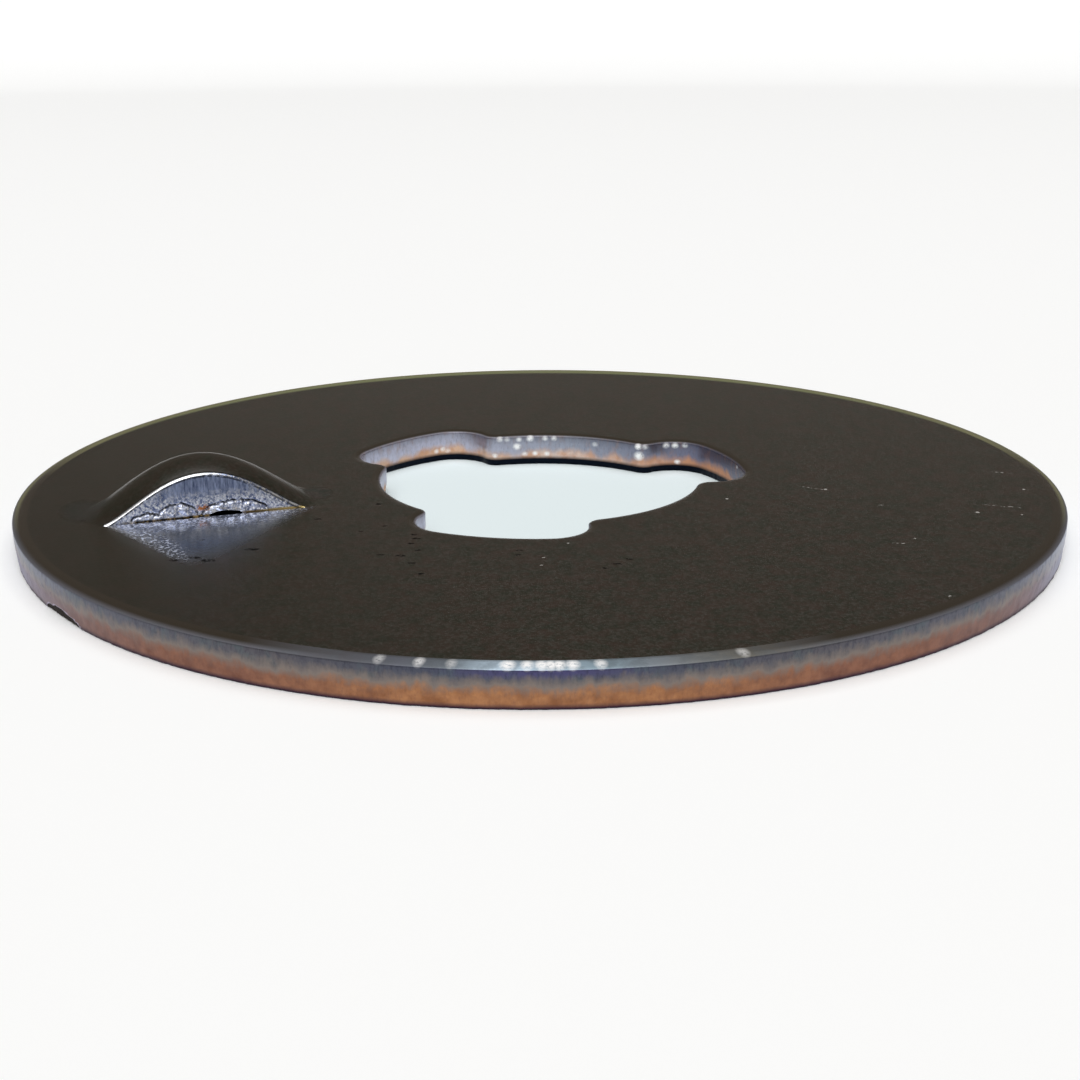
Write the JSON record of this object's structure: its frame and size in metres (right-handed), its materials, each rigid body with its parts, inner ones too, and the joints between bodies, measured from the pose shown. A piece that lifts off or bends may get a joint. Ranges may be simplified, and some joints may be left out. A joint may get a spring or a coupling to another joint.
{
  "type": "thrust washer",
  "caption": "Flat round steel thrust washer with a three-lobed hole and a half-moon tab lanced and raised from its face.",
  "frame": {"origin": "on the disc's axis, at the lower face", "axes": "+Z along the disc's axis, from the lower face towards the raised tab; -X from the axis towards the tab; the tab's sheared face looks along -Y"},
  "size_m": [0.06, 0.06, 0.0049],
  "materials": {
    "oxidised_steel": "dark satin oxide on the faces, bare sheared and torn steel on the cut walls"
  },
  "bodies": {
    "root": {"thrust_washer": "oxidised_steel"}
  },
  "joints": []
}
